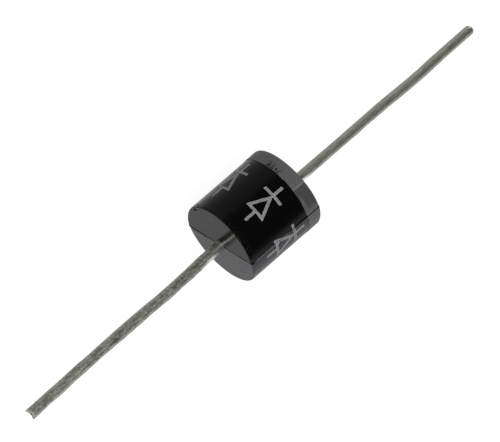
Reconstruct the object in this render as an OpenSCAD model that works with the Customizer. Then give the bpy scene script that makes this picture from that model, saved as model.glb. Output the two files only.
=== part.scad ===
// Axial-lead rectifier diode, moulded body.
// +X runs along the leads towards the cathode band, the parting plane is z = 0,
// and the origin is the middle of the body.

/* [Body] */
// Diameter of the moulded body
body_d = 8.9; // [8.6:0.05:9.1]
// Length of the body over the ridges of its end faces
body_l = 9.1; // [8.6:0.05:9.5]
// Draft of each half of an end face, in degrees
end_draft = 3.2; // [1:0.1:5]
// Radius of the rim round each end face
rim_r = 0.15; // [0.08:0.01:0.3]
// Sideways step between the two mould halves
mould_step = 0.06; // [0.02:0.01:0.12]

/* [Flash and gate] */
// How far the flash stands out of the parting line
flash_w = 0.05; // [0.04:0.01:0.1]
// Thickness of the flash
flash_t = 0.06; // [0.04:0.01:0.1]
// Place of the broken gate along the body
gate_x = -1.2; // [-2:0.1:2]
// Width of the broken gate
gate_w = 0.6; // [0.4:0.05:1]
// Height of the broken gate
gate_h = 0.24; // [0.16:0.02:0.4]
// How far the broken gate stands out of the body
gate_proud = 0.08; // [0.06:0.01:0.15]

/* [Leads] */
// Diameter of the tinned wire
lead_d = 1.2; // [1.2:0.01:1.3]
// Length of each lead outside the body
lead_l = 25.4; // [20:0.1:30]
// Thickness of the tin, which stops at the body
tin_t = 0.015; // [0.01:0.005:0.02]
// Chamfer of the cropped end of the anode lead
crop_chamfer = 0.06; // [0.03:0.01:0.15]
// Radius of the rounded tip of the cathode lead
tip_r = 0.35; // [0.2:0.05:0.5]

/* [Nail heads] */
// Diameter of the head of each lead
head_d = 5; // [4.8:0.1:5.4]
// Thickness of the head at its rim
head_t = 0.8; // [0.5:0.1:1.2]
// Diameter at the foot of the cone behind the head
neck_d = 2.2; // [1.8:0.1:2.8]
// Height of the cone behind the head
neck_h = 0.5; // [0.3:0.1:0.8]
// Diameter of the bare wire behind the cone, which tapers to the body's end
shank_d = 1.34; // [1.3:0.01:1.5]

/* [Junction] */
// Side of the square silicon chip
die_w = 3.2; // [2.8:0.1:3.2]
// Thickness of the silicon chip
die_t = 0.3; // [0.2:0.02:0.4]
// Diameter of the solder discs
solder_d = 4.6; // [4.6:0.05:4.7]
// Thickness of each solder disc
solder_t = 0.1; // [0.06:0.02:0.14]
// How far the rubber coating bulges past the heads
coating_bulge = 0.2; // [0.1:0.05:0.4]

/* [Print] */
// Thickness of the ink
ink_t = 0.03; // [0.02:0.005:0.035]
// Width of the cathode band
band_w = 1.65; // [1.4:0.05:2]
// Number of diode symbols round the body
symbol_count = 6; // [3:1:7]
// Length of a symbol along the body
symbol_l = 5; // [4:0.1:5.2]
// Height of a symbol across its bar
symbol_h = 2.3; // [1.6:0.1:2.5]
// Width of the printed strokes
stroke_w = 0.28; // [0.2:0.02:0.34]
// Clear space between the symbols and the band
symbol_gap = 0.6; // [0.3:0.05:1]
// Turn of the first symbol about the leads, in degrees
symbol_turn = 38; // [30:1:44]

/* [Hidden] */
$fn = 96;
body_r = body_d / 2;
half_l = body_l / 2;
lead_r = lead_d / 2;
wire_r = lead_r - tin_t;
tip_x = half_l + lead_l;
stack_t = die_t / 2 + solder_t;
reach = body_l + body_d;
rim_steps = 3;
symbol_x = half_l - band_w - symbol_gap - symbol_l / 2;
arrow_l = symbol_l * 0.5;

// Points of a quarter round from straight ahead to sideways, about a centre
function quarter_round(centre, r, steps) = [
    for (i = [0 : steps])
        centre + r * [sin(90 * i / steps), cos(90 * i / steps)]
];

// Centre of the circle that touches all three sides of a triangle
function incentre(p) =
    let (a = norm(p[1] - p[2]), b = norm(p[2] - p[0]), c = norm(p[0] - p[1]))
    (a * p[0] + b * p[1] + c * p[2]) / (a + b + c);

// Radius of that circle
function inradius(p) =
    let (a = norm(p[1] - p[2]), b = norm(p[2] - p[0]), c = norm(p[0] - p[1]))
    abs(cross(p[1] - p[0], p[2] - p[0])) / (a + b + c);

// Turns a shape built along +Z to lie along +X
module along_x() {
    rotate([0, 90, 0]) children();
}

// Everything behind one drafted end face, with the rim rounded off.
// It is turned about the face's own normal and widens behind the rim, so it trims only the end.
module end_trim(r) {
    profile = concat(
        [[0, 0]],
        quarter_round([r - rim_r, -rim_r], rim_r, rim_steps),
        [[r + body_r, -rim_r - body_l], [r + body_r, -reach], [0, -reach]]
    );
    translate([half_l, 0, 0])
        rotate([0, 90 - end_draft, 0])
            rotate_extrude() polygon(profile);
}

// One mould half's share of the body: half a cylinder with a drafted face at each end
module mould_half(r) {
    intersection() {
        along_x() cylinder(r = r, h = body_l, center = true);
        translate([-half_l, -body_d, 0]) cube([body_l, 2 * body_d, body_d]);
        end_trim(r);
        mirror([1, 0, 0]) end_trim(r);
    }
}

// The upper half, and the lower half a little out of step with it
module mould_halves(r) {
    mould_half(r);
    translate([0, -mould_step, 0])
        mirror([0, 0, 1]) mould_half(r);
}

// The thin fin squeezed out between the mould halves
module flash() {
    x = half_l + flash_w;
    y = body_r + mould_step / 2 + flash_w;
    c = rim_r + flash_w;
    translate([0, -mould_step / 2, -flash_t / 2])
        linear_extrude(flash_t)
            polygon([
                [x - c, y], [x, y - c], [x, c - y], [x - c, -y],
                [c - x, -y], [-x, c - y], [-x, y - c], [c - x, y]
            ]);
}

// The stub of the gate that fed the mould, broken off at the parting line
module gate_scar() {
    foot = body_r / 2;
    top = body_r + mould_step + gate_proud;
    translate([gate_x, 0, -gate_h / 2])
        linear_extrude(gate_h)
            polygon([
                [-gate_w / 2, -foot], [-gate_w / 3, -top],
                [gate_w / 4, -top + gate_proud / 3], [gate_w / 2, -foot]
            ]);
}

// The outside of the moulding, filled solid
module moulding() {
    mould_halves(body_r);
    flash();
    gate_scar();
}

// A lead turned about +Z with its head at the bottom: head, cone, bare tapered wire, tinned wire, tip
module lead(tip_profile) {
    neck_z = stack_t + head_t;
    rotate_extrude()
        polygon(concat(
            [
                [0, stack_t], [head_d / 2, stack_t], [head_d / 2, neck_z],
                [neck_d / 2, neck_z], [shank_d / 2, neck_z + neck_h],
                [wire_r, half_l], [lead_r, half_l]
            ],
            tip_profile,
            [[0, tip_x]]
        ));
}

// The filled outline of the rubber between the two heads
module coating_outline() {
    r = head_d / 2;
    along_x()
        rotate_extrude()
            polygon([[0, -stack_t], [r, -stack_t], [r + coating_bulge, 0], [r, stack_t], [0, stack_t]]);
}

// One solder disc on the +X side of the chip
module solder_disc() {
    translate([die_t / 2, 0, 0])
        along_x() cylinder(d = solder_d, h = solder_t);
}

// A skin of ink over the whole round side of the body, between two places along it
module ink_skin(x_from, x_to) {
    difference() {
        intersection() {
            mould_halves(body_r + ink_t);
            translate([x_from, -body_d, -body_d]) cube([x_to - x_from, 2 * body_d, 2 * body_d]);
            translate([-rim_r, 0, 0]) rim_limits();
        }
        moulding();
    }
}

// What lies behind the two drafted planes of the banded end
module rim_limits() {
    intersection_for(side = [-1, 1])
        translate([half_l, 0, 0])
            rotate([0, -side * end_draft, 0])
                translate([-reach, -body_d, -body_d]) cube([reach, 2 * body_d, 2 * body_d]);
}

// A flat diode symbol pointing along +X: triangle, bar, and a line for each lead
module diode_symbol() {
    h = symbol_h / 2;
    arrow = [[-arrow_l / 2, -h], [arrow_l / 2, 0], [-arrow_l / 2, h]];
    centre = incentre(arrow);
    inner = 1 - stroke_w / inradius(arrow);
    line_l = (symbol_l - arrow_l) / 2;
    difference() {
        polygon(arrow);
        translate(centre) scale(inner) translate(-centre) polygon(arrow);
    }
    translate([arrow_l / 2 - stroke_w / 2, -h]) square([stroke_w, symbol_h]);
    for (x = [-symbol_l / 2, arrow_l / 2])
        translate([x, -stroke_w / 2]) square([line_l, stroke_w]);
}

module case() {
    color("#1b1b1e")
        difference() {
            moulding();
            anode_lead();
            cathode_lead();
            coating_outline();
        }
}

module anode_lead() {
    color("#9a998e")
        mirror([1, 0, 0]) along_x()
            lead([[lead_r, tip_x - crop_chamfer], [lead_r - crop_chamfer, tip_x]]);
}

module cathode_lead() {
    round_tip = quarter_round([lead_r - tip_r, tip_x - tip_r], tip_r, 6);
    color("#9a998e")
        along_x()
            lead([for (i = [len(round_tip) - 1 : -1 : 0]) round_tip[i]]);
}

module silicon_die() {
    color("#5d6068")
        cube([die_t, die_w, die_w], center = true);
}

module anode_solder() {
    color("#b9bcc0")
        mirror([1, 0, 0]) solder_disc();
}

module cathode_solder() {
    color("#b9bcc0")
        solder_disc();
}

module junction_coating() {
    color("#e8e6df")
        difference() {
            coating_outline();
            silicon_die();
            anode_solder();
            cathode_solder();
        }
}

module cathode_band() {
    color("#6f6f72")
        ink_skin(half_l - band_w, half_l);
}

module polarity_marks() {
    color("#8a8a8c")
        intersection() {
            ink_skin(symbol_x - symbol_l, half_l - band_w - symbol_gap / 2);
            for (i = [0 : symbol_count - 1])
                rotate([symbol_turn + 360 / symbol_count * i, 0, 0])
                    translate([symbol_x, 0, body_r / 2])
                        linear_extrude(body_r) diode_symbol();
        }
}

case();
anode_lead();
cathode_lead();
silicon_die();
anode_solder();
cathode_solder();
junction_coating();
cathode_band();
polarity_marks();
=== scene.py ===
"""Looks of an axial-lead rectifier diode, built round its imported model.

Metres, with +X along the leads towards the cathode band.
"""
import math

import bmesh
import bpy
from mathutils import Matrix, Vector, noise


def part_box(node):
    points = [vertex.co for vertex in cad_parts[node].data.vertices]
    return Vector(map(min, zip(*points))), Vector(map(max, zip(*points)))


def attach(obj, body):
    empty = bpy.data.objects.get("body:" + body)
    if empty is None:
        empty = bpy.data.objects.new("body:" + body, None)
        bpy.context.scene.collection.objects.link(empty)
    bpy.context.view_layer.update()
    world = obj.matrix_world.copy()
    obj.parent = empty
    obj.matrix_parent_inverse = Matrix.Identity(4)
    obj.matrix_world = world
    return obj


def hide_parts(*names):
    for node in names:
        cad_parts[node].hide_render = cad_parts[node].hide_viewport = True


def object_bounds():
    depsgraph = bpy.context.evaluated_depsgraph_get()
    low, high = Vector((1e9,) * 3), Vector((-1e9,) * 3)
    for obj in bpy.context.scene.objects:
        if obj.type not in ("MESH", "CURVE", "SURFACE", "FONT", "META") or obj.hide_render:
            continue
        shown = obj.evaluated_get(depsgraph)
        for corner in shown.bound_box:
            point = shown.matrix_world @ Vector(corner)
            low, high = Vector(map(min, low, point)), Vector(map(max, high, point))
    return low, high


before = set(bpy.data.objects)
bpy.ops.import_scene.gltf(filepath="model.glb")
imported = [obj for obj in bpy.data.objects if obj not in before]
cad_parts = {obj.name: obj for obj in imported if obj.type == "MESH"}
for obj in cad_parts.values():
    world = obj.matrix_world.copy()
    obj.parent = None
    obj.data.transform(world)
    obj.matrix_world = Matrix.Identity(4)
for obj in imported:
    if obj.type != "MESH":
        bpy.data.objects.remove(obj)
cad_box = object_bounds()

MM = 0.001
ORIGIN = (0, 0, 0)

# ---------------------------------------------------------------- sizes, from the frame
case_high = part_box("case")[1]
anode_low, anode_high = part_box("anode_lead")
cathode_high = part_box("cathode_lead")[1]
band_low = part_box("cathode_band")[0]
mark_low, mark_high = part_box("polarity_marks")

# the moulding: its flash, the step between its halves, its rims and its end faces
FLASH_W = 0.05 * MM
FLASH_T = 0.06 * MM
MOULD_STEP = 0.06 * MM
INK_T = 0.03 * MM
RIM_R = 0.15 * MM
END_DRAFT = math.radians(2)
BODY_R = case_high.z
HALF_L = case_high.x - FLASH_W
BAND_X = band_low.x

# how finely it is cut; the seam rows, in mm above the parting line, stand for the first plain ones
AROUND = 192
ALONG = 72
SEAM_ROWS = (0.04, 0.09, 0.15, 0.22)
PLAIN_ROWS = 3

# the gate scar, the dent in the parting line and the chipped rim, whose turn is in degrees
GATE_X = -1.2 * MM
GATE_W = 0.6 * MM
GATE_PROUD = 0.08 * MM
GATE_TALL = 3.6
FLASH_THIN = 0.5
GROOVE_RUN = (2.1 * MM, 3.4 * MM)
GROOVE_W = 0.14 * MM
GROOVE_DEEP = 0.4 * MM
NICK_DEEP = 0.12 * MM
NICK_TURN = (46, 62)
FACING = 0.9

# the print
BAND_LAP = math.radians(138)
BAND_TONE = 0.062
MARK_TONE = 0.2
SYMBOL_COUNT = 6
SYMBOL_L = 5 * MM
SYMBOL_H = 2.3 * MM
SYMBOL_X = (mark_low.x + mark_high.x) / 2
SYMBOL_TURN = math.radians(38)
SYMBOL_GRID = 0.1 * MM
STROKE_W = 0.28 * MM

# the leads
WIRE_R = 0.56 * MM
FAR_WIRE_R = 0.51 * MM
WIRE_AROUND = 48
WIRE_GRID = 0.14 * MM
ROOT_L = 0.5 * MM
TIP_R = 0.46 * MM
DOME_STEPS = 6
CUT_RINGS = (0.5 * MM, 0.36 * MM, 0.18 * MM, 0)
SCOOP_REACH = 0.9 * MM
SCOOP_DEEP = 0.34 * MM
LEAN = Vector((0, -0.755, -0.656))
# each bend: the distance from the middle of the part, and how far the wire leans there, in mm
ANODE_BENDS = ((4.5, 0.05), (6.5, 0.06), (9, 0.17), (12, 0.21),
               (16, 0.15), (23, 0.2), (26, 0.26), (30, 0.3))
CATHODE_BENDS = ((4.5, 0.1), (12, 0.14), (17, 0.12), (22, 0.23), (25, 0.16), (30, 0.14))
HEAD_R = anode_high.y
HEAD_X = -anode_high.x
HEAD_T = 0.8 * MM
SHOULDER_R = 1.1 * MM
NECK_R = 0.67 * MM
NECK_L = 0.5 * MM
# each lead inside the body: its nail head, the shoulder behind it and the bare wire
INNER_LEAD = [(HEAD_X, 0), (HEAD_X, HEAD_R), (HEAD_X + HEAD_T, HEAD_R), (HEAD_X + HEAD_T, SHOULDER_R),
              (HEAD_X + HEAD_T + NECK_L, NECK_R), (HALF_L - 0.1 * MM, WIRE_R)]


# ---------------------------------------------------------------- shader maths
# the colour sockets of a Mix node: both inputs and the output
MIX_A, MIX_B, MIX_RESULT = 6, 7, 2


class Signal:
    """An output of a shader node; sums on it add Math nodes."""

    def __init__(self, nodes, socket):
        self.nodes = nodes
        self.socket = socket

    def math(self, operation, *values):
        """A Math node on the given values."""
        return self.nodes.node("ShaderNodeMath", {"operation": operation}, dict(enumerate(values)))

    def __add__(self, other):
        return self.math("ADD", self, other)

    def __sub__(self, other):
        return self.math("SUBTRACT", self, other)

    def __rsub__(self, other):
        return self.math("SUBTRACT", other, self)

    def __mul__(self, other):
        return self.math("MULTIPLY", self, other)

    def __abs__(self):
        return self.math("ABSOLUTE", self)

    __radd__ = __add__
    __rmul__ = __mul__

    def most(self, other):
        """The larger of this and another value."""
        return self.math("MAXIMUM", self, other)

    def step(self, start, end):
        """Goes smoothly from 0 at start to 1 at end."""
        low, high = sorted((start, end))
        inputs = {"Value": self, "From Min": low, "From Max": high}
        if start > end:
            inputs.update({"To Min": 1.0, "To Max": 0.0})
        return self.nodes.node("ShaderNodeMapRange", {"interpolation_type": "SMOOTHSTEP"}, inputs)


class Nodes:
    """A node tree, with one method that makes any node in it."""

    def __init__(self, tree):
        self.tree = tree

    def give(self, node, inputs):
        """Sets or links the sockets of a node."""
        for key, value in inputs.items():
            if isinstance(value, Signal):
                self.tree.links.new(value.socket, node.inputs[key])
            else:
                node.inputs[key].default_value = value

    def node(self, kind, settings, inputs, output=0):
        """Any node, with its settings made before its sockets are filled."""
        node = self.tree.nodes.new(kind)
        for key, value in settings.items():
            setattr(node, key, value)
        self.give(node, inputs)
        return Signal(self, node.outputs[output])

    def split(self, vector):
        """X, Y and Z of a vector."""
        node = self.node("ShaderNodeSeparateXYZ", {}, {"Vector": vector}).socket.node
        return [Signal(self, node.outputs[axis]) for axis in "XYZ"]

    def rays(self, *kinds):
        """The given outputs of a Light Path node."""
        node = self.node("ShaderNodeLightPath", {}, {}).socket.node
        return [Signal(self, node.outputs[kind]) for kind in kinds]


class Finish(Nodes):
    """A surface finish: one Principled shader and the nodes that feed it."""

    def __init__(self, name, **constants):
        self.material = bpy.data.materials.new(name)
        self.material.use_nodes = True
        super().__init__(self.material.node_tree)
        self.shader = self.tree.nodes["Principled BSDF"]
        self.shader_inputs(**constants)
        self.place = self.node("ShaderNodeTexCoord", {}, {}, "Object")

    def shader_inputs(self, **inputs):
        """Sets or feeds the Principled shader."""
        self.give(self.shader, {key.replace("_", " "): value for key, value in inputs.items()})

    def along(self, stretch):
        """The place on the piece, with patterns drawn out along X by the given factor."""
        return self.node("ShaderNodeMapping", {}, {"Vector": self.place, "Scale": (1 / stretch, 1, 1)})

    def grain(self, size, detail=3.0, rough=0.55, place=None):
        """Cloudy noise from 0 to 1 with lumps of about the given size."""
        inputs = {"Vector": place or self.place, "Scale": 1 / size, "Detail": detail, "Roughness": rough}
        return self.node("ShaderNodeTexNoise", {}, inputs, "Fac")

    def tone(self, amount, low, high):
        """A colour between two, by an amount from 0 to 1."""
        low, high = [(*colour, 1) if isinstance(colour, tuple) else colour for colour in (low, high)]
        inputs = {"Factor": amount, MIX_A: low, MIX_B: high}
        return self.node("ShaderNodeMix", {"data_type": "RGBA"}, inputs, MIX_RESULT)

    def bump(self, height, depth, under=None):
        """A Bump node on a height from 0 to 1, with the given depth, over another bump."""
        inputs = {"Height": height, "Distance": depth, "Strength": 1.0}
        if under:
            inputs["Normal"] = under
        return self.node("ShaderNodeBump", {}, inputs)


# ---------------------------------------------------------------- finishes
EPOXY_BLACK = (0.0012, 0.0012, 0.0014)
# the painted light that makes the lower mould half paler
EPOXY_PAINTED_LIGHT_GREY = (0.026, 0.025, 0.030)
# pale grey for dust specks on the rims, and for the painted highlight on the seam and the painted glint
# on the gate scar
EPOXY_DUST_AND_GLINT = (0.16, 0.16, 0.17)
NO_INK = (0, 0, 0)
FULL_INK = (0.98, 0.97, 1.0)
BAND_MISPRINT = (0.003, 0.003, 0.003)
MARK_MISPRINT = (0.008, 0.008, 0.009)
TIN_DARK = (0.19, 0.195, 0.165)
TIN_PALE = (0.40, 0.40, 0.36)
TIN_CRUST = (0.035, 0.035, 0.028)
TIN_BRIGHT = (0.66, 0.66, 0.61)


def black_epoxy():
    """Moulded black epoxy: glossy above the parting line, duller below it, and paler below it as painted
    light.
    """
    f = Finish("black_epoxy", IOR=1.2)
    x, y, z = f.split(f.place)
    mottle = f.grain(0.8 * MM)
    cloud = f.grain(2.2 * MM)
    fine = f.grain(0.05 * MM, detail=2.0)
    lower = z.step(0.0, -0.03 * MM)
    end = abs(x).step(HALF_L - 3 * RIM_R, HALF_L - 2 * RIM_R)
    seam = abs(z).step(0.05 * MM, 0.02 * MM) * x.step(1.2 * MM, 0.2 * MM)
    # the pale, broken line along the seam is a painted highlight
    seam_highlight = seam * f.grain(0.9 * MM).step(0.25, 0.5) * (1 - end)
    # the pale spot on the gate scar is a painted glint
    gate = abs(x - GATE_X).step(0.32 * MM, 0.2 * MM) * y.step(-4.48 * MM, -4.54 * MM)
    rim = abs(x).step(HALF_L - 0.9 * MM, HALF_L - 0.1 * MM)
    dust = f.grain(0.10 * MM, detail=1.0).step(0.70, 0.74) * rim
    # the lower half's paler grey is painted light, a painted reflection of the bright surroundings
    pale = lower * (0.55 + 0.5 * mottle + 0.4 * cloud)
    skin = f.tone(pale, EPOXY_BLACK, EPOXY_PAINTED_LIGHT_GREY)
    f.shader_inputs(
        Base_Color=f.tone(seam_highlight * 0.5 + gate + dust * 0.5, skin, EPOXY_DUST_AND_GLINT),
        Roughness=0.22 - 0.09 * end + 0.10 * lower + 0.08 * mottle,
        Normal=f.bump(fine, 0.0015 * MM, f.bump(mottle, 0.004 * MM)))
    return f.material


def band_ink():
    """The cathode ring's ink: thin grey, with misprints near its start and a lap where it ends."""
    f = Finish("band_ink", IOR=1.3)
    x, y, z = f.split(f.place)
    turn = z.math("ARCTAN2", z, y)
    cloud = f.grain(0.5 * MM)
    speck = f.grain(0.08 * MM)
    lap = turn.step(BAND_LAP - 0.012, BAND_LAP)
    lip = abs(turn - BAND_LAP - 0.02).step(0.03, 0.01)
    late = lap * turn.step(3.1, 2.9)
    stripe = x.step(BAND_X + 0.45 * MM, BAND_X + 0.3 * MM) * turn.step(2.6, 2.75)
    misprint = abs(turn - 1.76).step(0.22, 0.14) * x.step(BAND_X + 1.0 * MM, BAND_X + 0.35 * MM)
    fleck = f.grain(0.22 * MM).step(0.50, 0.55) * misprint
    pits = f.grain(0.13 * MM, detail=1.0).step(0.72, 0.77)
    cover = 0.72 + 0.30 * cloud + 0.20 * speck - late * (0.25 + 0.35 * cloud)
    shade = cover + 0.4 * stripe * late + 0.9 * lip
    ink = f.tone(shade * BAND_TONE, NO_INK, FULL_INK)
    f.shader_inputs(
        Base_Color=f.tone(fleck + pits * 0.7, ink, BAND_MISPRINT),
        Roughness=0.42 + 0.25 * speck,
        Normal=f.bump(speck + cloud, 0.006 * MM))
    return f.material


def mark_ink():
    """The symbols' ink, which gathers at the edges of a stroke and is thin inside it."""
    f = Finish("mark_ink", IOR=1.3)
    edge = f.node("ShaderNodeAttribute", {"attribute_name": "edge"}, {}, "Fac")
    speck = f.grain(0.09 * MM)
    gap = f.grain(0.16 * MM).step(0.60, 0.68) * (1 - 0.6 * edge)
    shade = 0.45 + 0.45 * edge.step(0.2, 0.9) + 0.5 * speck
    ink = f.tone(shade * MARK_TONE, NO_INK, FULL_INK)
    f.shader_inputs(
        Base_Color=f.tone(gap, ink, MARK_MISPRINT),
        Roughness=0.5 + 0.2 * speck,
        Normal=f.bump(speck, 0.008 * MM))
    return f.material


def dull_tin(name, dross):
    """Hot-dipped tin: drawn streaks under a cloudy skin, with as much dross as asked; its dross gathers
    in spots on the side turned from the lamps as painted shade, and near the body it is painted bright,
    as fresh tin with a painted highlight.
    """
    f = Finish(name, Metallic=1.0)
    x, y, z = f.split(f.place)
    streak = f.grain(0.10 * MM, place=f.along(14))
    cloud = f.grain(0.45 * MM, place=f.along(2.5))
    crust = f.grain(0.24 * MM, place=f.along(1.8), detail=4.0, rough=0.65)
    # side marks the half of the wire turned down and away from the lamps; the dross spots gather there as
    # painted shade
    side = (z * 0.8 - y * 0.6).step(0.15 * MM, -0.35 * MM)
    dross_and_shade_patch = abs(x).step(8 * MM, 11 * MM) * f.grain(3.0 * MM).step(0.35, 0.6) * side
    dark = crust.step(0.50, 0.45) * (0.45 + 0.55 * dross_and_shade_patch) * dross
    spark = f.grain(0.15 * MM, place=f.along(1.5)).step(0.58, 0.62) * (0.25 + 0.75 * dross_and_shade_patch) * dross
    # near the body the tin is painted bright on the side the wires lean to: bare bright tin, with a
    # painted highlight where the streak of light falls
    clean_tin_and_glint = abs(x).step(7.4 * MM, 6.2 * MM) * (y * LEAN.y + z * LEAN.z).step(-0.15 * MM, 0.0)
    skin = f.tone(0.55 * streak + 0.45 * cloud, TIN_DARK, TIN_PALE)
    f.shader_inputs(
        Base_Color=f.tone(spark + 0.85 * clean_tin_and_glint, f.tone(dark, skin, TIN_CRUST), TIN_BRIGHT),
        Roughness=0.38 + 0.14 * cloud - 0.12 * clean_tin_and_glint,
        Normal=f.bump(0.6 * crust * dross + 0.25 * streak + 0.5 * cloud, 0.045 * MM))
    return f.material


def cloudy(name, low, high, size, **constants):
    """A mottled finish for the parts sealed inside."""
    f = Finish(name, **constants)
    cloud = f.grain(size)
    f.shader_inputs(Base_Color=f.tone(cloud, low, high), Roughness=0.3 + 0.3 * cloud)
    return f.material


# ---------------------------------------------------------------- mesh helpers
def finished(bm, name, node, sharp=35):
    """Turns a bmesh into a piece that rides on the part in place of one of its nodes."""
    bm.normal_update()
    mesh = bpy.data.meshes.new(name)
    bm.to_mesh(mesh)
    bm.free()
    mesh.shade_smooth()
    mesh.set_sharp_from_angle(angle=math.radians(sharp))
    piece = bpy.data.objects.new(name, mesh)
    bpy.context.scene.collection.objects.link(piece)
    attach(piece, "root")
    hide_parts(node)
    return piece


def everything(bm):
    """All the geometry of a bmesh, as the operators want it."""
    return bm.verts[:] + bm.edges[:] + bm.faces[:]


def points(geom):
    """The vertices among the geometry that an operator gives back."""
    return [g for g in geom if isinstance(g, bmesh.types.BMVert)]


def cut(bm, point, normal, **options):
    """Cuts the whole bmesh along a plane."""
    bmesh.ops.bisect_plane(bm, geom=everything(bm), plane_co=point, plane_no=normal, **options)


def wobble(point, grain, seed):
    """Smooth noise from -1 to 1 with lumps of about the given size."""
    return noise.noise(Vector(point) / grain + Vector((seed, seed * 1.7, -seed)))


# ---------------------------------------------------------------- moulding
def upper_shell(radius):
    """The upper mould half's skin: half a cylinder, two drafted ends and round rims, open below."""
    bm = bmesh.new()
    bmesh.ops.create_circle(bm, cap_ends=True, segments=AROUND, radius=radius)
    bmesh.ops.rotate(bm, verts=bm.verts, cent=ORIGIN, matrix=Matrix.Rotation(math.pi / 2, 3, "Y"))
    bmesh.ops.translate(bm, verts=bm.verts, vec=(-HALF_L, 0, 0))
    grown = bmesh.ops.extrude_face_region(bm, geom=bm.faces[:])["geom"]
    bmesh.ops.translate(bm, verts=points(grown), vec=(2 * HALF_L, 0, 0))
    cut(bm, (0, 0, FLASH_T / 2), (0, 0, 1), clear_inner=True)
    bmesh.ops.holes_fill(bm, edges=bm.edges[:])
    for side in (-1, 1):
        normal = (side * math.cos(END_DRAFT), 0, math.sin(END_DRAFT))
        cut(bm, (side * HALF_L, 0, 0), normal, clear_outer=True)
        bmesh.ops.holes_fill(bm, edges=bm.edges[:])
    bmesh.ops.recalc_face_normals(bm, faces=bm.faces[:])
    ends = [f for f in bm.faces if abs(f.normal.x) > FACING]
    rims = [e for f in ends for e in f.edges if min(g.normal.z for g in e.link_faces) > -FACING]
    bmesh.ops.bevel(bm, geom=rims, offset=RIM_R, segments=4, profile=0.5, affect="EDGES", material=-1)
    ends = [f for f in bm.faces if abs(f.normal.x) > FACING and len(f.verts) > 8]
    bmesh.ops.inset_region(bm, faces=ends, thickness=0.04 * MM, use_even_offset=True)
    reach = HALF_L - 3 * RIM_R
    for i in range(ALONG + 1):
        cut(bm, (reach * (2 * i / ALONG - 1), 0, 0), (1, 0, 0))
    for i in range(1, ALONG):
        cut(bm, (0, radius * (2 * i / ALONG - 1), 0), (0, 1, 0))
    for rise in SEAM_ROWS:
        cut(bm, (0, 0, FLASH_T / 2 + rise * MM), (0, 0, 1))
    for i in range(PLAIN_ROWS, ALONG // 2):
        cut(bm, (0, 0, radius * 2 * i / ALONG), (0, 0, 1))
    underside = [f for f in bm.faces if f.normal.z < -FACING]
    bmesh.ops.delete(bm, geom=underside, context="FACES")
    return bm


def both_shells(radius):
    """The upper skin and, a little out of step with it, its mirror image below."""
    bm = upper_shell(radius)
    copied = bmesh.ops.duplicate(bm, geom=everything(bm))["geom"]
    verts = points(copied)
    bmesh.ops.scale(bm, vec=(1, 1, -1), verts=verts)
    bmesh.ops.reverse_faces(bm, faces=[f for f in copied if isinstance(f, bmesh.types.BMFace)])
    bmesh.ops.translate(bm, verts=verts, vec=(0, -MOULD_STEP, 0))
    return bm


def window(value, start, end, soft):
    """1 between start and end, falling to 0 over the soft width outside them."""
    return max(0.0, min(1.0, (value - start) / soft + 1, (end - value) / soft + 1))


def groove(point):
    """How deep the parting line is sunk at a point of the anode end, from 0 to 1."""
    if point.x > -HALF_L + 0.4 * MM:
        return 0.0
    along = window(point.y, *GROOVE_RUN, 0.5 * MM)
    across = max(0.0, 1 - abs(point.z) / GROOVE_W) ** 0.7
    return along * across * (0.75 + 0.25 * wobble(point, 0.4 * MM, 8))


def nicked(point):
    """How much of the anode end's rim is chipped away at a point, from 0 to 1."""
    if point.x > -HALF_L + 0.5 * MM or math.hypot(point.y, point.z) < BODY_R - 0.35 * MM:
        return 0.0
    turn = math.degrees(math.atan2(point.z, point.y))
    return window(turn, *NICK_TURN, 5) * max(0.0, 0.2 + 1.3 * wobble(point, 0.32 * MM, 5))


def flash_width(point):
    """How far the flash stands out at a point of the parting line."""
    share = 0.7 + 0.6 * wobble(point, 1.1 * MM, 3)
    return FLASH_W * min(1.0, max(0.2, share)) * (1 - groove(point))


def moulding():
    """The epoxy body: both mould halves joined by a thin, uneven fin of flash and a gate scar."""
    bm = both_shells(BODY_R)
    seam = bmesh.ops.bridge_loops(bm, edges=[e for e in bm.edges if e.is_boundary])["faces"]
    bmesh.ops.recalc_face_normals(bm, faces=bm.faces[:])
    grown = bmesh.ops.extrude_face_region(bm, geom=seam)["geom"]
    bm.normal_update()
    for v in points(grown):
        out = Vector((v.normal.x, v.normal.y, 0)).normalized()
        at_gate = abs(v.co.x - GATE_X) < GATE_W / 2 and v.co.y < 0
        v.co += out * (GATE_PROUD if at_gate else flash_width(v.co))
        v.co.z *= GATE_TALL if at_gate else FLASH_THIN
    for v in bm.verts:
        v.co.x += GROOVE_DEEP * groove(v.co)
        chip = NICK_DEEP * nicked(v.co)
        v.co += Vector((chip, -chip * v.co.y / BODY_R, -chip * v.co.z / BODY_R))
    bmesh.ops.recalc_face_normals(bm, faces=bm.faces[:])
    return finished(bm, "moulded_case", "case")


# ---------------------------------------------------------------- print
def cathode_band():
    """The printed ring at the cathode end, a thin skin with an uneven edge that wraps over the rim."""
    bm = both_shells(BODY_R + INK_T)
    cut(bm, (BAND_X, 0, 0), (1, 0, 0), clear_inner=True)
    ends = [f for f in bm.faces if f.normal.x > FACING]
    bmesh.ops.delete(bm, geom=ends, context="FACES")
    for v in bm.verts:
        if abs(v.co.x - BAND_X) < 0.001 * MM:
            v.co.x += 0.035 * MM * (wobble(v.co, 0.3 * MM, 2) + wobble(v.co, 1.4 * MM, 6))
    bmesh.ops.solidify(bm, geom=bm.faces[:], thickness=INK_T * 0.9)
    return finished(bm, "band_print", "cathode_band", sharp=60)


def bar(bm, low, high):
    """A flat bar between two corners."""
    low, high = Vector(low), Vector(high)
    size = high - low
    place = Matrix.Translation(((low + high) / 2).to_3d()) @ Matrix.Diagonal((size.x, size.y, 1, 1))
    bmesh.ops.create_grid(bm, x_segments=1, y_segments=1, size=0.5, matrix=place)


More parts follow.
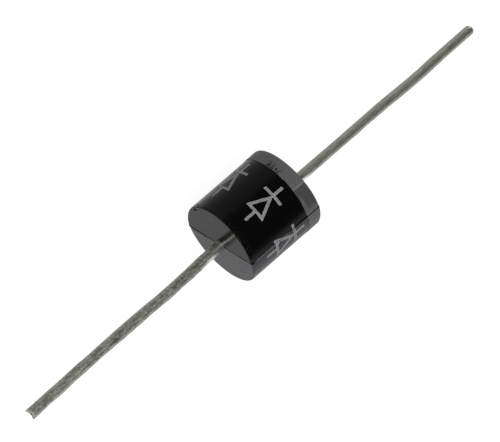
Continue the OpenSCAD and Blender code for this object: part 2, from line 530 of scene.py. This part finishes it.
def flat_symbol():
    """One diode symbol, flat: an outlined arrow, its bar and both its lines."""
    bm = bmesh.new()
    half_l, half_h = SYMBOL_L / 2, SYMBOL_H / 2
    base, tip = -half_l / 2, half_l / 2
    corners = [bm.verts.new(p) for p in ((base, -half_h, 0), (tip, 0, 0), (base, half_h, 0))]
    bm.faces.new(corners)
    bm.normal_update()
    frame_faces = bmesh.ops.inset_individual(bm, faces=bm.faces[:], thickness=STROKE_W,
                                             use_even_offset=True)["faces"]
    middle = [f for f in bm.faces if f not in frame_faces]
    bmesh.ops.delete(bm, geom=middle, context="FACES")
    edge = tip - STROKE_W / 2
    cut(bm, (edge, 0, 0), (1, 0, 0), clear_outer=True)
    bar(bm, (edge, -half_h), (edge + STROKE_W, half_h))
    bar(bm, (edge + STROKE_W, -STROKE_W / 2), (half_l, STROKE_W / 2))
    bar(bm, (-half_l, -STROKE_W / 2), (base, STROKE_W / 2))
    bmesh.ops.recalc_face_normals(bm, faces=bm.faces[:])
    bmesh.ops.inset_region(bm, faces=bm.faces[:], thickness=0.07 * MM, use_even_offset=True,
                           use_boundary=True)
    return bm


def symbols():
    """Six diode symbols printed round the body, their arrows towards the band."""
    radius = BODY_R + INK_T * 0.9
    bm = flat_symbol()
    edge = bm.verts.layers.float.new("edge")
    for v in bm.verts:
        v[edge] = 1.0 if v.is_boundary else 0.0
    one = everything(bm)
    for i in range(1, SYMBOL_COUNT):
        copied = bmesh.ops.duplicate(bm, geom=one)["geom"]
        spacing = 2 * math.pi * radius / SYMBOL_COUNT
        bmesh.ops.translate(bm, verts=points(copied), vec=(0, -spacing * i, 0))
    top = SYMBOL_H / 2
    bottom = top - 2 * math.pi * radius
    rows = round((top - bottom) / SYMBOL_GRID)
    for i in range(rows):
        cut(bm, (0, bottom + (top - bottom) * i / rows, 0), (0, 1, 0))
    columns = round(SYMBOL_L / SYMBOL_GRID)
    for i in range(1, columns):
        cut(bm, (SYMBOL_L * (i / columns - 0.5), 0, 0), (1, 0, 0))
    for v in bm.verts:
        if v.is_boundary:
            ragged = Vector((wobble(v.co, 0.14 * MM, 4), wobble(v.co, 0.14 * MM, 9), 0))
            v.co += ragged * 0.035 * MM
    for v in bm.verts:
        turn = math.pi / 2 + SYMBOL_TURN - v.co.y / radius
        y, z = radius * math.cos(turn), radius * math.sin(turn)
        v.co = (SYMBOL_X + v.co.x, y - MOULD_STEP * window(z, -BODY_R, -FLASH_T, FLASH_T), z)
    bmesh.ops.recalc_face_normals(bm, faces=bm.faces[:])
    for f in bm.faces:
        if f.normal.dot(Vector((0, f.verts[0].co.y, f.verts[0].co.z))) < 0:
            f.normal_flip()
    bmesh.ops.solidify(bm, geom=bm.faces[:], thickness=INK_T * 0.8)
    return finished(bm, "symbol_print", "polarity_marks", sharp=60)


# ---------------------------------------------------------------- leads
def eased(stations, value):
    """A smooth value between the stations of a list of (place, value)."""
    for (a, low), (b, high) in zip(stations, stations[1:]):
        if value <= b:
            share = max(0.0, (value - a) / (b - a))
            return low + (high - low) * share * share * (3 - 2 * share)
    return stations[-1][1]


def lead(side, profile, bends, lumps, seed):
    """A headed wire turned about X from its profile, then bent, dented and given its cut end."""
    bm = bmesh.new()
    verts = [bm.verts.new((side * x, 0, r)) for x, r in profile]
    edges = [bm.edges.new(pair) for pair in zip(verts, verts[1:])]
    bmesh.ops.spin(bm, geom=verts + edges, cent=ORIGIN, axis=(1, 0, 0), angle=2 * math.pi,
                   steps=WIRE_AROUND, use_merge=True)
    bmesh.ops.remove_doubles(bm, verts=bm.verts[:], dist=0.001 * MM)
    bmesh.ops.recalc_face_normals(bm, faces=bm.faces[:])
    start, end = HALF_L, max(x for x, r in profile)
    rings = round((end - start) / WIRE_GRID)
    for i in range(1, rings):
        cut(bm, (side * (start + (end - start) * i / rings), 0, 0), (1, 0, 0))
    for v in bm.verts:
        out = abs(v.co.x)
        free = window(out, HALF_L + ROOT_L, end, ROOT_L)
        if free:
            radial = Vector((0, v.co.y, v.co.z))
            lower = 0.5 + 0.5 * radial.normalized().dot(LEAN) if radial.length else 0.5
            stretched = Vector((v.co.x * 0.45, v.co.y, v.co.z))
            lump = wobble(stretched, 0.9 * MM, seed) + 0.4 * wobble(stretched, 0.3 * MM, seed + 2)
            v.co += radial * free * lumps * (0.35 + lower) * lump
            v.co += LEAN * free * eased(bends, out / MM) * MM
    return bm


def anode_lead():
    """The near wire, whose end was pinched off and left hollow."""
    near_tip = -anode_low.x
    shape = INNER_LEAD + [(near_tip, r) for r in (WIRE_R, *CUT_RINGS)]
    bm = lead(-1, shape, ANODE_BENDS, lumps=0.085, seed=11)
    middle = LEAN * ANODE_BENDS[-1][1] * MM
    for v in bm.verts:
        near_cut = window(-v.co.x, near_tip - 0.01 * MM, near_tip, SCOOP_REACH)
        if near_cut:
            offset = (Vector((0, v.co.y, v.co.z)) - middle).dot(LEAN) / WIRE_R
            hollow = max(0.0, 1 - offset * offset) + 0.25 * max(0.0, offset)
            rough = 1 + 0.25 * wobble(v.co, 0.25 * MM, 7)
            v.co.x += SCOOP_DEEP * near_cut ** 2 * hollow * rough
    return finished(bm, "anode_wire", "anode_lead", sharp=50)


def cathode_lead():
    """The far wire, a little thinner, with a rounded end."""
    far_tip = cathode_high.x
    angles = [math.pi / 2 * i / DOME_STEPS for i in range(DOME_STEPS + 1)]
    dome = [(far_tip - TIP_R * (1 - math.sin(a)), FAR_WIRE_R - TIP_R * (1 - math.cos(a))) for a in angles]
    neck = [(HALF_L - 0.05 * MM, FAR_WIRE_R)]
    shape = INNER_LEAD + neck + dome + [(far_tip, 0)]
    bm = lead(1, shape, CATHODE_BENDS, lumps=0.06, seed=21)
    return finished(bm, "cathode_wire", "cathode_lead", sharp=50)


# ---------------------------------------------------------------- stage
VIEW_AZIMUTH = math.radians(30.77)
VIEW_ELEVATION = math.radians(45)
VIEW_ROLL = math.radians(-18.18)
VIEW_DISTANCE = 0.485
AIM_RIGHT = -0.36 * MM
AIM_UP = -0.52 * MM
LENS_MM = 368
SENSOR_MM = 36

FLOOR_TONE = 0.75
FLOOR_SEEN = 0.4
FLOOR_GLOW = 0.75
FLOOR_HALF = 2.0
WORLD_LEVEL = 0.35
SKY_FALL = 0.5
CARD_TONE = 0.002
CARD_HALF = 1.0
CARD_Y = -13 * MM


def grey(tone):
    """A grey with its alpha."""
    return (tone, tone, tone, 1)


def camera():
    """The camera, which looks down along the leads from the anode end."""
    data = bpy.data.cameras.new("camera")
    data.sensor_width = SENSOR_MM
    data.lens = LENS_MM
    data.clip_start = 0.01
    towards = Vector((-math.sin(VIEW_AZIMUTH) * math.cos(VIEW_ELEVATION),
                      -math.cos(VIEW_AZIMUTH) * math.cos(VIEW_ELEVATION),
                      math.sin(VIEW_ELEVATION)))
    turn = towards.to_track_quat("Z", "Y").to_matrix() @ Matrix.Rotation(VIEW_ROLL, 3, "Z")
    obj = bpy.data.objects.new("camera", data)
    aim = turn @ Vector((AIM_RIGHT, AIM_UP, 0))
    obj.matrix_world = Matrix.Translation(aim + towards * VIEW_DISTANCE) @ turn.to_4x4()
    bpy.context.scene.collection.objects.link(obj)
    bpy.context.scene.camera = obj


def lamp(name, towards, distance, size, watts):
    """A square soft lamp aimed at the part from the given direction."""
    data = bpy.data.lights.new(name, "AREA")
    data.size = size
    data.energy = watts
    obj = bpy.data.objects.new(name, data)
    direction = Vector(towards).normalized()
    obj.matrix_world = (Matrix.Translation(direction * distance)
                        @ direction.to_track_quat("Z", "Y").to_matrix().to_4x4())
    bpy.context.scene.collection.objects.link(obj)


def sheet(name, half, place, material):
    """A flat square of the studio."""
    bm = bmesh.new()
    bmesh.ops.create_grid(bm, x_segments=1, y_segments=1, size=half)
    mesh = bpy.data.meshes.new(name)
    bm.to_mesh(mesh)
    bm.free()
    mesh.materials.append(material)
    obj = bpy.data.objects.new(name, mesh)
    obj.matrix_world = place
    bpy.context.scene.collection.objects.link(obj)
    return obj


def floor():
    """The pale floor, which shines a little to the camera but keeps the part's shadow."""
    f = Finish("floor_white", Base_Color=grey(FLOOR_TONE), Roughness=0.9, Specular_IOR_Level=0.0)
    hidden = Signal(f, f.shader.outputs["BSDF"])
    veil = f.node("ShaderNodeBsdfDiffuse", {}, {"Color": grey(FLOOR_SEEN)})
    glow = f.node("ShaderNodeEmission", {}, {"Strength": FLOOR_GLOW})
    shown = f.node("ShaderNodeAddShader", {}, {0: veil, 1: glow})
    camera_ray, glossy_ray, through_ray = f.rays("Is Camera Ray", "Is Glossy Ray", "Is Transmission Ray")
    seen = camera_ray.most(glossy_ray).most(through_ray)
    front = f.node("ShaderNodeMixShader", {}, {0: seen, 1: hidden, 2: shown})
    behind = f.node("ShaderNodeNewGeometry", {}, {}, "Backfacing")
    clear = f.node("ShaderNodeBsdfTransparent", {}, {})
    surface = f.node("ShaderNodeMixShader", {}, {0: behind, 1: front, 2: clear})
    f.give(f.tree.nodes["Material Output"], {"Surface": surface})
    sheet("floor", FLOOR_HALF, Matrix.Translation((0, 0, cad_box[0].z)), f.material)


def black_card():
    """A dark card that stands beside the part on the camera's side; only reflections see it."""
    f = Finish("card_black", Base_Color=grey(CARD_TONE), Roughness=1.0, Specular_IOR_Level=0.0)
    upright = Matrix.Rotation(math.pi / 2, 4, "X")
    place = Matrix.Translation((0, CARD_Y, cad_box[0].z + CARD_HALF)) @ upright
    card = sheet("black_card", CARD_HALF, place, f.material)
    card.visible_camera = False
    card.visible_diffuse = False
    card.visible_shadow = False
    card.visible_transmission = False


def studio_world():
    """A white surround; reflections see it fall off overhead, and its light is at a plain level."""
    world = bpy.data.worlds.new("studio")
    world.use_nodes = True
    sky = Nodes(world.node_tree)
    rise = sky.split(sky.node("ShaderNodeTexCoord", {}, {}, "Generated"))[2]
    diffuse_ray, glossy_ray = sky.rays("Is Diffuse Ray", "Is Glossy Ray")
    seen = 1 - SKY_FALL * rise.most(0.0) * glossy_ray
    strength = seen - (1 - WORLD_LEVEL) * diffuse_ray
    sky.give(sky.tree.nodes["Background"], {"Color": grey(1), "Strength": strength})
    bpy.context.scene.world = world


# ---------------------------------------------------------------- the scene
camera()
studio_world()
floor()
black_card()
lamp("key", towards=(-0.36, -0.76, 0.54), distance=0.40, size=0.14, watts=1.7)
lamp("fill", towards=(0.85, 0.1, 0.5), distance=0.30, size=0.15, watts=0.35)

PIECES = (
    (moulding(), black_epoxy()),
    (cathode_band(), band_ink()),
    (symbols(), mark_ink()),
    (anode_lead(), dull_tin("near_tin", dross=1.0)),
    (cathode_lead(), dull_tin("far_tin", dross=0.25)),
)
for piece, finish in PIECES:
    piece.data.materials.append(finish)

solder = cloudy("solder_grey", (0.35, 0.35, 0.36), (0.55, 0.55, 0.57), 0.3 * MM, Metallic=1.0)
INNER = {
    "silicon_die": cloudy("silicon_grey", (0.10, 0.11, 0.13), (0.20, 0.21, 0.24), 0.3 * MM, Metallic=0.6),
    "anode_solder": solder,
    "cathode_solder": solder,
    "junction_coating": cloudy("silicone_white", (0.60, 0.58, 0.54), (0.75, 0.73, 0.70), 0.8 * MM),
}
for name, finish in INNER.items():
    node = bpy.data.objects[name]
    node.data.materials.clear()
    node.data.materials.append(finish)

bpy.context.scene.view_settings.view_transform = "Standard"
